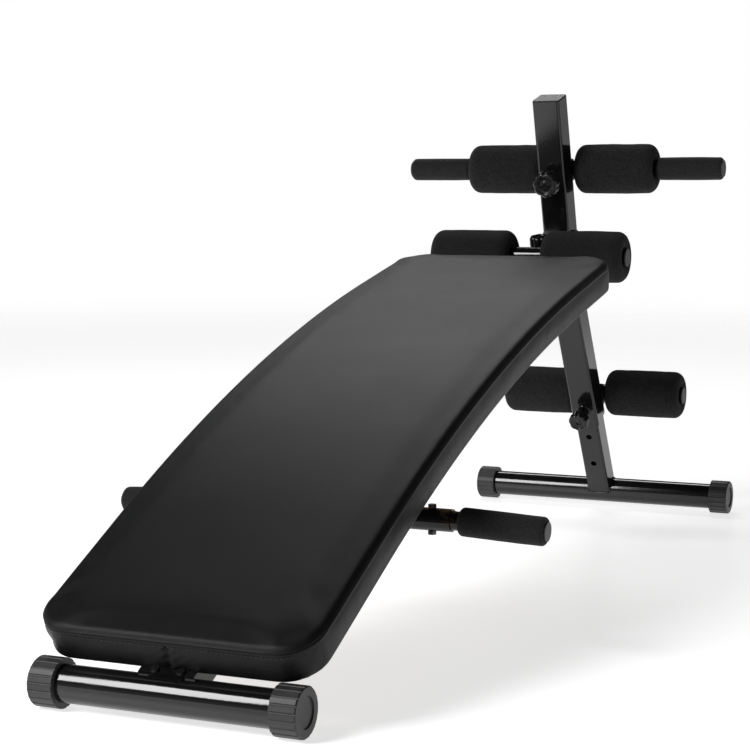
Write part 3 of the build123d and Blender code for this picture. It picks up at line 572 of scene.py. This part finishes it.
roller = dict(steps=72, endRoll=0.0125, dish=0.0028, slices=0.0075, barrel=0.0006,
              lump=0.0004, bore=0.0002)
grip = dict(steps=48, endRoll=0.0045, dish=0.0006, slices=0.006, barrel=0.0003,
            lump=0.0002, bore=0.0002)


def foamSleeve(name, node, body, slot, shape, facing, size, barRadius):
    radius, length = size
    centre = middle(node)
    seed = sum(ord(letter) for letter in name) % 17
    bm = bmesh.new()
    bore = barRadius + shape["bore"]
    corners = [bm.verts.new(c) for c in ((-length / 2, 0, bore), (-length / 2, 0, radius),
                                         (length / 2, 0, radius), (length / 2, 0, bore))]
    sides = [bm.edges.new((corners[i], corners[(i + 1) % 4])) for i in range(4)]
    bmesh.ops.spin(bm, geom=corners + sides, cent=(0, 0, 0), axis=(1, 0, 0), dvec=(0, 0, 0),
                   angle=2 * math.pi, steps=shape["steps"], use_merge=True)
    ends = [e for e in bm.edges if abs(e.verts[0].co.x - e.verts[1].co.x) < 1e-6
            and all(v.co.yz.length > radius * 0.98 for v in e.verts)
            and abs(e.verts[0].co.yz.length - e.verts[1].co.yz.length) < 1e-6]
    bmesh.ops.bevel(bm, geom=ends, offset=shape["endRoll"], segments=8, profile=0.5,
                    affect="EDGES", material=-1)
    cuts = int((length - 2 * shape["endRoll"]) / shape["slices"])
    for cut in range(1, cuts):
        x = -length / 2 + shape["endRoll"] + cut * (length - 2 * shape["endRoll"]) / cuts
        bmesh.ops.bisect_plane(bm, geom=bm.verts[:] + bm.edges[:] + bm.faces[:],
                               plane_co=(x, 0, 0), plane_no=(1, 0, 0), dist=1e-6)
    for v in bm.verts:
        out = v.co.yz.length
        along = v.co.x / (length / 2)
        if out > bore + 0.001:
            swell = shape["barrel"] * (1 - along * along) - shape["barrel"]
            swell += roughness(v.co, 42, seed) * shape["lump"]
            swell += roughness(v.co, 110, seed + 2) * shape["lump"] * 0.4
            v.co.y *= 1 + (swell - shape["lump"] * 0.5) / out
            v.co.z *= 1 + (swell - shape["lump"] * 0.5) / out
        else:  # the ends are drawn in towards the bar
            v.co.x -= math.copysign(shape["dish"], v.co.x)
    wrap = bm.loops.layers.uv.new("wrap")  # metres round the sleeve, and metres along it
    for face in bm.faces:
        heart = face.calc_center_median()
        level = math.atan2(heart.z, heart.y)
        for corner in face.loops:
            spot = corner.vert.co
            turn = math.atan2(spot.z, spot.y) - level
            turn = (turn + math.pi) % (2 * math.pi) - math.pi
            inwards = math.copysign(radius - spot.yz.length, spot.x)
            corner[wrap].uv = ((level + turn) * radius, spot.x + inwards)
    bmesh.ops.transform(bm, verts=bm.verts, matrix=Matrix.Translation(centre)
                        @ facing.to_track_quat("X", "Z").to_matrix().to_4x4())
    piece = makePiece(name, bm, slot, body, 180)
    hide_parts(node)
    return piece


barRadius = 0.0125
handleRadius = 0.0105
handleDroop = math.radians(2.5)
for bar, body in (("knee", "knee_roller"), ("t_bar", "t_bar_roller"), ("foot", "foot_roller")):
    for side in ("left", "right"):
        node = bar + "_roller_" + side
        low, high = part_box(node)
        foamSleeve(bar.replace("_b", "B").replace("t_", "t") + "Roller" + side.capitalize(), node,
                   body + "_" + side, "roller_foam", roller, Vector((1, 0, 0)),
                   ((high.z - low.z) / 2, high.x - low.x), barRadius)
for side, sign in (("left", -1), ("right", 1)):
    low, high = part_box("t_bar_grip_" + side)
    foamSleeve("tBarGrip" + side.capitalize(), "t_bar_grip_" + side, "post", "grip_foam", grip,
               Vector((1, 0, 0)), ((high.z - low.z) / 2, high.x - low.x), barRadius)
    low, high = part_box("push_grip_" + side)
    radius = (high.y - low.y) / 2
    length = ((high.x - low.x) - 2 * radius * math.sin(handleDroop)) / math.cos(handleDroop)
    droops = Vector((math.cos(handleDroop), 0, -sign * math.sin(handleDroop)))
    foamSleeve("pushGrip" + side.capitalize(), "push_grip_" + side, "frame", "grip_foam", grip,
               droops, (radius, length), handleRadius)
print("rollers and grips shaped")


# knobs

knobs = dict(lobes=7, stepsEach=14, scallop=0.11, rounding=0.0013)


def lobedKnob(name, node, behind, body, radius, length, bore):
    facing = (middle(node) - middle(behind)).normalized()
    start = middle(node) - facing * length / 2
    neck = radius * 0.56
    outline = [(0, 0.0), (neck, 0.0), (neck * 1.03, length * 0.16), (radius * 0.8, length * 0.34),
               (radius, length * 0.48), (radius, length * 0.9), (radius * 0.86, length),
               (radius * 0.7, length), (radius * 0.62, length - 0.0024),
               (bore + 0.0026, length - 0.0026), (bore + 0.0018, length - 0.0010),
               (bore, length - 0.0010), (bore, length - 0.0028), (0, length - 0.0028)]
    bm = bmesh.new()
    line = [bm.verts.new((r, 0, z)) for r, z in outline]
    edges = [bm.edges.new(pair) for pair in zip(line, line[1:])]
    bmesh.ops.spin(bm, geom=line + edges, cent=(0, 0, 0), axis=(0, 0, 1), dvec=(0, 0, 0),
                   angle=2 * math.pi, steps=knobs["lobes"] * knobs["stepsEach"], use_merge=True)
    bmesh.ops.remove_doubles(bm, verts=bm.verts, dist=1e-6)
    rings = [e for e in ringEdges(bm, 18, 170)
             if abs(e.verts[0].co.z - e.verts[1].co.z) < 1e-6
             and e.verts[0].co.xy.length > bore * 1.1]
    bmesh.ops.bevel(bm, geom=rings, offset=knobs["rounding"], segments=3, profile=0.5,
                    affect="EDGES", material=-1)
    for v in bm.verts:
        out = v.co.xy.length
        if out > radius * 0.62 and v.co.z > length * 0.2:
            angle = math.atan2(v.co.y, v.co.x)
            dip = (1 - abs(math.sin(angle * knobs["lobes"] / 2))) ** 1.6
            deep = min(1.0, (out / radius - 0.62) / 0.2)
            v.co.x *= 1 - knobs["scallop"] * dip * deep
            v.co.y *= 1 - knobs["scallop"] * dip * deep
    bmesh.ops.transform(bm, verts=bm.verts, matrix=Matrix.Translation(start)
                        @ facing.to_track_quat("Z", "X").to_matrix().to_4x4())
    piece = makePiece(name, bm, "knob_plastic", body, 50)
    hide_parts(node)


lobedKnob("tBarKnob", "t_knob", "t_stud", "t_knob", 0.019, 0.030, 0.0034)
lobedKnob("slidePullKnob", "slide_pin_knob", "slide_pin_boss", "slide_pin", 0.015, 0.027, 0.0030)
lobedKnob("legPullKnob", "leg_pin_knob", "leg_pin_boss", "leg_pin", 0.015, 0.027, 0.0030)
print("knobs turned")


# weld beads

weld = dict(size=0.0021, ripple=0.00028, pitch=0.0032, step=0.0011)


def weldBead(bm, points, closed):  # a rippled bead along a line of points
    curve = bpy.data.curves.new("bead", "CURVE")
    curve.dimensions = "3D"
    curve.bevel_depth = weld["size"]
    curve.bevel_resolution = 2
    curve.use_fill_caps = True
    fine = []
    ends = points + points[:1] if closed else points
    for a, b in zip(ends, ends[1:]):
        parts = max(1, int((b - a).length / weld["step"]))
        fine += [a.lerp(b, i / parts) for i in range(parts)]
    if not closed:
        fine.append(points[-1])
    spline = curve.splines.new("POLY")
    spline.points.add(len(fine) - 1)
    spline.use_cyclic_u = closed
    gone = 0.0
    for index, spot in enumerate(fine):
        if index:
            gone += (spot - fine[index - 1]).length
        beat = 0.5 + 0.5 * math.cos(2 * math.pi * gone / weld["pitch"])
        spline.points[index].co = (*spot, 1)
        spline.points[index].radius = 1 - weld["ripple"] / weld["size"] * (1 + 2 * beat)
    bead = bpy.data.objects.new("bead", curve)
    scene.collection.objects.link(bead)
    bpy.context.view_layer.update()
    mesh = bpy.data.meshes.new_from_object(
        bead.evaluated_get(bpy.context.evaluated_depsgraph_get()))
    bm.from_mesh(mesh)
    bpy.data.objects.remove(bead)


def ringOf(centre, facing, radius, first=0, last=360, count=36):
    turn = facing.to_track_quat("Z", "X")
    return [centre + turn @ Vector((radius * math.cos(a), radius * math.sin(a), 0))
            for a in (math.radians(first + (last - first) * i / count) for i in range(count + 1))]


def padOnFace(centre, facing, width, length):  # a rounded loop round a saddle's foot
    along = Vector((1, 0, 0))
    up = facing.cross(along).normalized()
    points = []
    for sx, sy, start in ((1, 1, 0), (-1, 1, 90), (-1, -1, 180), (1, -1, 270)):
        for part in range(4):
            angle = math.radians(start + part * 30)
            points.append(centre + along * (sx * (width / 2 - 0.003) + 0.003 * math.cos(angle))
                          + up * (sy * (length / 2 - 0.003) + 0.003 * math.sin(angle)))
    return points


def weldSaddle(bm, bar, away, reach):  # bar welded to its saddle, and the saddle to the tube
    axis = middle(bar)
    weldBead(bm, padOnFace(axis - away * reach, away, 0.0345, 0.0325), True)
    for side in (-1, 1):
        spot = Vector((side * 0.0172, axis.y, axis.z))
        up = Vector((1, 0, 0)).cross(away)
        arc = [spot - (away * math.cos(a) + up * math.sin(a)) * 0.0128
               for a in (math.radians(d) for d in range(-80, 81, 10))]
        weldBead(bm, arc, False)


def towards(degrees):  # a direction in the side view, from +Y turning up
    return Vector((0, math.cos(math.radians(degrees)), math.sin(math.radians(degrees))))


welds = dict(postUp=106.0, legUp=120.24, legHalf=0.0175, tubeHalf=0.020, footRadius=0.019,
             pushBarDistance=0.369, bend=(0, 0.48146, 0.37419), bossRadius=0.0093)
postUp, legUp = towards(welds["postUp"]), towards(welds["legUp"])
postBack, legBack = towards(welds["postUp"] - 90), towards(welds["legUp"] - 90)
rearUp = towards(benchLine["rearSlope"] + 90)


def frameWelds():
    bm = bmesh.new()
    foot = middle("front_stabilizer")
    along, up = towards(benchLine["frontSlope"]), towards(benchLine["frontSlope"] + 90)
    for side in (-1, 1):
        arc = []
        for step in range(-9, 10):
            high = step * 0.002
            far = math.sqrt(welds["footRadius"] ** 2 - high * high)
            arc.append(foot + Vector((side * 0.0203, 0, 0)) + up * high + along * (far + 0.0003))
        weldBead(bm, arc, False)
    weldSaddle(bm, "knee_bar", rearUp, 0.015)
    bentRun = welds["pushBarDistance"] - benchLine["frontRun"]
    slope = math.radians(benchLine["frontSlope"]) - bentRun / benchLine["bendRadius"]
    weldSaddle(bm, "push_sleeve", towards(math.degrees(slope) - 90), 0.018)
    boss = middle("slide_pin_boss") - rearUp * 0.002
    weldBead(bm, ringOf(boss, rearUp, welds["bossRadius"]), True)
    return makePiece("frameWelds", bm, "frame_paint", "frame", 60)


def postWelds():
    bm = bmesh.new()
    weldSaddle(bm, "t_bar", postBack, 0.017)
    weldSaddle(bm, "foot_bar", legBack, 0.020)
    bend = Vector(welds["bend"])
    mitre = (postUp + legUp).normalized()
    back = mitre.cross(Vector((1, 0, 0))).normalized()
    wide = welds["tubeHalf"] + 0.0002
    deep = wide / math.cos((math.radians(welds["legUp"] - welds["postUp"])) / 2)
    loop = [bend + Vector((sx * wide, 0, 0)) + back * sy * deep
            for sx, sy in ((1, 1), (-1, 1), (-1, -1), (1, -1))]
    weldBead(bm, loop, True)
    boss = middle("leg_pin_boss") + legBack * 0.002
    weldBead(bm, ringOf(boss, legBack, welds["bossRadius"]), True)
    return makePiece("postWelds", bm, "frame_paint", "post", 60)


def legWelds():
    bm = bmesh.new()
    foot = middle("rear_stabilizer")
    half = welds["legHalf"] + 0.0002
    loop = []
    for side in (1, -1):
        for step in range(-8, 9):
            high = side * step * half / 8
            far = math.sqrt(welds["footRadius"] ** 2 - high * high)
            corner = foot + Vector((side * half, 0, 0))
            loop.append(corner + legBack * high + legUp * (far + 0.0003))
    weldBead(bm, loop, True)
    return makePiece("legWelds", bm, "frame_paint", "leg", 60)


frameWelds()
postWelds()
legWelds()
print("welds laid")


# floor, light and camera

studio = dict(
    floorRadius=7.0, floorGlow=0.68,
    # the sky's stops: sine of height, shade
    sky=((0.0, 0.40), (0.12, 0.33), (0.3, 0.12), (0.6, 0.025), (1.0, 0.025)),
    frontPower=98, frontSize=(1.1, 1.6), frontPlace=(-1.62, -2.62, 2.15),
    rearPower=29, rearSize=(2.0, 0.55), rearPlace=(-1.25, 2.6, 2.75),
)


def paleFloor():
    bm = bmesh.new()
    bmesh.ops.create_circle(bm, cap_ends=True, segments=96, radius=studio["floorRadius"])
    finish = Finish("paleFloor", {"Roughness": 0.3, "Specular IOR Level": 0.3,
                                  "Emission Color": (1, 1, 1, 1),
                                  "Emission Strength": studio["floorGlow"]})
    mottle = finish.speckle(3, 2)
    fade = finish.node("VectorMath", {"operation": "LENGTH"}, {0: finish.place}, out=1)
    finish.drive(Base_Color=finish.tint(mottle, (0.87, 0.87, 0.875), (0.89, 0.89, 0.895)),
                 Alpha=1 - finish.between(fade, studio["floorRadius"] * 0.3,
                                          studio["floorRadius"] * 0.95))
    finishes["floor"] = finish.material
    floor = makePiece("paleFloor", bm, "floor", None)
    for v in floor.data.vertices:
        v.co.z = -0.0004


def studioSky():
    world = bpy.data.worlds.new("studioSky")
    scene.world = world
    world.use_nodes = True
    tree = world.node_tree
    background = tree.nodes["Background"]
    geometry = tree.nodes.new("ShaderNodeTexCoord")
    split = tree.nodes.new("ShaderNodeSeparateXYZ")
    tree.links.new(geometry.outputs["Generated"], split.inputs[0])
    ramp = tree.nodes.new("ShaderNodeValToRGB")
    tree.links.new(split.outputs["Z"], ramp.inputs["Fac"])
    for count, (place, shade) in enumerate(studio["sky"]):
        stop = (ramp.color_ramp.elements[count] if count < 2
                else ramp.color_ramp.elements.new(place))
        stop.position = place
        stop.color = (shade, shade, shade, 1)
    lit = tree.nodes.new("ShaderNodeLightPath")
    mix = tree.nodes.new("ShaderNodeMix")
    mix.data_type = "RGBA"
    mix.inputs[7].default_value = (1, 1, 1, 1)
    tree.links.new(lit.outputs["Is Camera Ray"], mix.inputs[0])
    tree.links.new(ramp.outputs["Color"], mix.inputs[6])
    tree.links.new(mix.outputs[2], background.inputs["Color"])


def softbox(name, power, size, place, target):
    light = bpy.data.lights.new(name, "AREA")
    light.energy = power
    light.shape = "RECTANGLE"
    light.size, light.size_y = size
    lamp = bpy.data.objects.new(name, light)
    lamp.location = place
    lamp.rotation_euler = (Vector(target) - Vector(place)).to_track_quat("-Z", "Y").to_euler()
    scene.collection.objects.link(lamp)


def mainCamera():
    lens = bpy.data.cameras.new("mainCamera")
    lens.lens, lens.sensor_width, lens.clip_end = 92.57, 36, 50
    camera = bpy.data.objects.new("mainCamera", lens)
    camera.location = (0.90606, -2.24025, 0.50678)
    camera.rotation_euler = Vector((-0.4049, 0.9091, -0.0979)).to_track_quat("-Z", "Y").to_euler()
    scene.collection.objects.link(camera)
    scene.camera = camera


paleFloor()
studioSky()
softbox("front", studio["frontPower"], studio["frontSize"], studio["frontPlace"], (0, -0.6, 0.1))
softbox("rear", studio["rearPower"], studio["rearSize"], studio["rearPlace"], (0, 0.1, 0.3))
mainCamera()
scene.view_settings.view_transform = "Standard"
print("studio ready")
